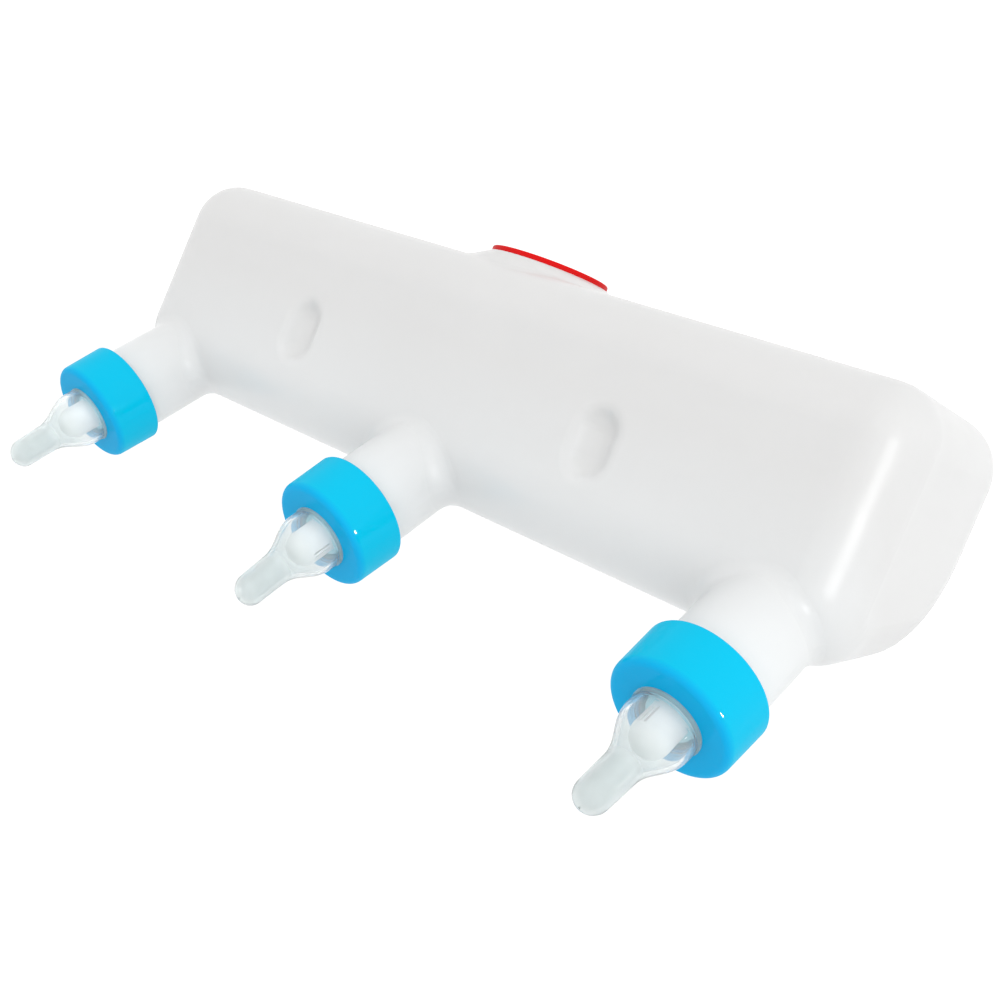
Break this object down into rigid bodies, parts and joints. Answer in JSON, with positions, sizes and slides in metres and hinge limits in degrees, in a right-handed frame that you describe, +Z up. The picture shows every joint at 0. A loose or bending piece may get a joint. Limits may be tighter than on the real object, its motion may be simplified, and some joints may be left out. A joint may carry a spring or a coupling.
{
  "type": "calf feeding bottle",
  "caption": "Long hollow feeding tank with angled screw necks, clear teats held by screw rings, non-return valves inside the teats and a screw plug in the filler mouth.",
  "frame": {"origin": "middle of the flat back panel", "axes": "+X along the tank, +Y out of the back panel, +Z up; the teats point forwards (-Y) and down"},
  "size_m": [0.4074, 0.1651, 0.1809],
  "materials": {
    "milky_plastic": "translucent, softly glossy",
    "blue_plastic": "glossy",
    "clear_silicone": "clear, slightly milky",
    "white_plastic": "satin",
    "red_plastic": "glossy",
    "gasket_rubber": "matt"
  },
  "bodies": {
    "tank": {"tank": "milky_plastic"},
    "teat_left": {"teat_left": "clear_silicone", "valve_seat_left": "white_plastic", "valve_cage_left": "white_plastic"},
    "ring_left": {"ring_left": "blue_plastic"},
    "ball_left": {"valve_ball_left": "white_plastic"},
    "teat_middle": {"teat_middle": "clear_silicone", "valve_seat_middle": "white_plastic", "valve_cage_middle": "white_plastic"},
    "ring_middle": {"ring_middle": "blue_plastic"},
    "ball_middle": {"valve_ball_middle": "white_plastic"},
    "teat_right": {"teat_right": "clear_silicone", "valve_seat_right": "white_plastic", "valve_cage_right": "white_plastic"},
    "ring_right": {"ring_right": "blue_plastic"},
    "ball_right": {"valve_ball_right": "white_plastic"},
    "gasket": {"filler_gasket": "gasket_rubber"},
    "plug": {"filler_plug": "red_plastic"}
  },
  "joints": [
    {"name": "teat_lift_left", "type": "slide", "parent": "tank", "child": "teat_left", "axis": [0, -0.6947, -0.7193], "range_m": [0, 0.02]},
    {"name": "ring_turn_left", "type": "hinge", "parent": "teat_left", "child": "ring_left", "pos_m": [-0.1735, -0.1175, -0.0885], "axis": [0, -0.6947, -0.7193], "range_deg": [0, 1801]},
    {"name": "ball_slide_left", "type": "slide", "parent": "teat_left", "child": "ball_left", "axis": [0, -0.6947, -0.7193], "range_m": [-0.0046, 0]},
    {"name": "teat_lift_middle", "type": "slide", "parent": "tank", "child": "teat_middle", "axis": [0, -0.6947, -0.7193], "range_m": [0, 0.02]},
    {"name": "ring_turn_middle", "type": "hinge", "parent": "teat_middle", "child": "ring_middle", "pos_m": [0, -0.1175, -0.0885], "axis": [0, -0.6947, -0.7193], "range_deg": [0, 1801]},
    {"name": "ball_slide_middle", "type": "slide", "parent": "teat_middle", "child": "ball_middle", "axis": [0, -0.6947, -0.7193], "range_m": [-0.0046, 0]},
    {"name": "teat_lift_right", "type": "slide", "parent": "tank", "child": "teat_right", "axis": [0, -0.6947, -0.7193], "range_m": [0, 0.02]},
    {"name": "ring_turn_right", "type": "hinge", "parent": "teat_right", "child": "ring_right", "pos_m": [0.1735, -0.1175, -0.0885], "axis": [0, -0.6947, -0.7193], "range_deg": [0, 1801]},
    {"name": "ball_slide_right", "type": "slide", "parent": "teat_right", "child": "ball_right", "axis": [0, -0.6947, -0.7193], "range_m": [-0.0046, 0]},
    {"name": "plug_lift", "type": "slide", "parent": "tank", "child": "gasket", "axis": [0, -0.0715, 0.9974], "range_m": [0, 0.016]},
    {"name": "plug_turn", "type": "hinge", "parent": "gasket", "child": "plug", "pos_m": [0, -0.061, 0.03393], "axis": [0, -0.0715, 0.9974], "range_deg": [0, 1441]}
  ],
  "couplings": [
    {"joint": "ring_turn_left", "follows": "teat_lift_left", "rad_per_m": 1570.8},
    {"joint": "ring_turn_middle", "follows": "teat_lift_middle", "rad_per_m": 1570.8},
    {"joint": "ring_turn_right", "follows": "teat_lift_right", "rad_per_m": 1570.8},
    {"joint": "plug_turn", "follows": "plug_lift", "rad_per_m": 1570.8}
  ]
}
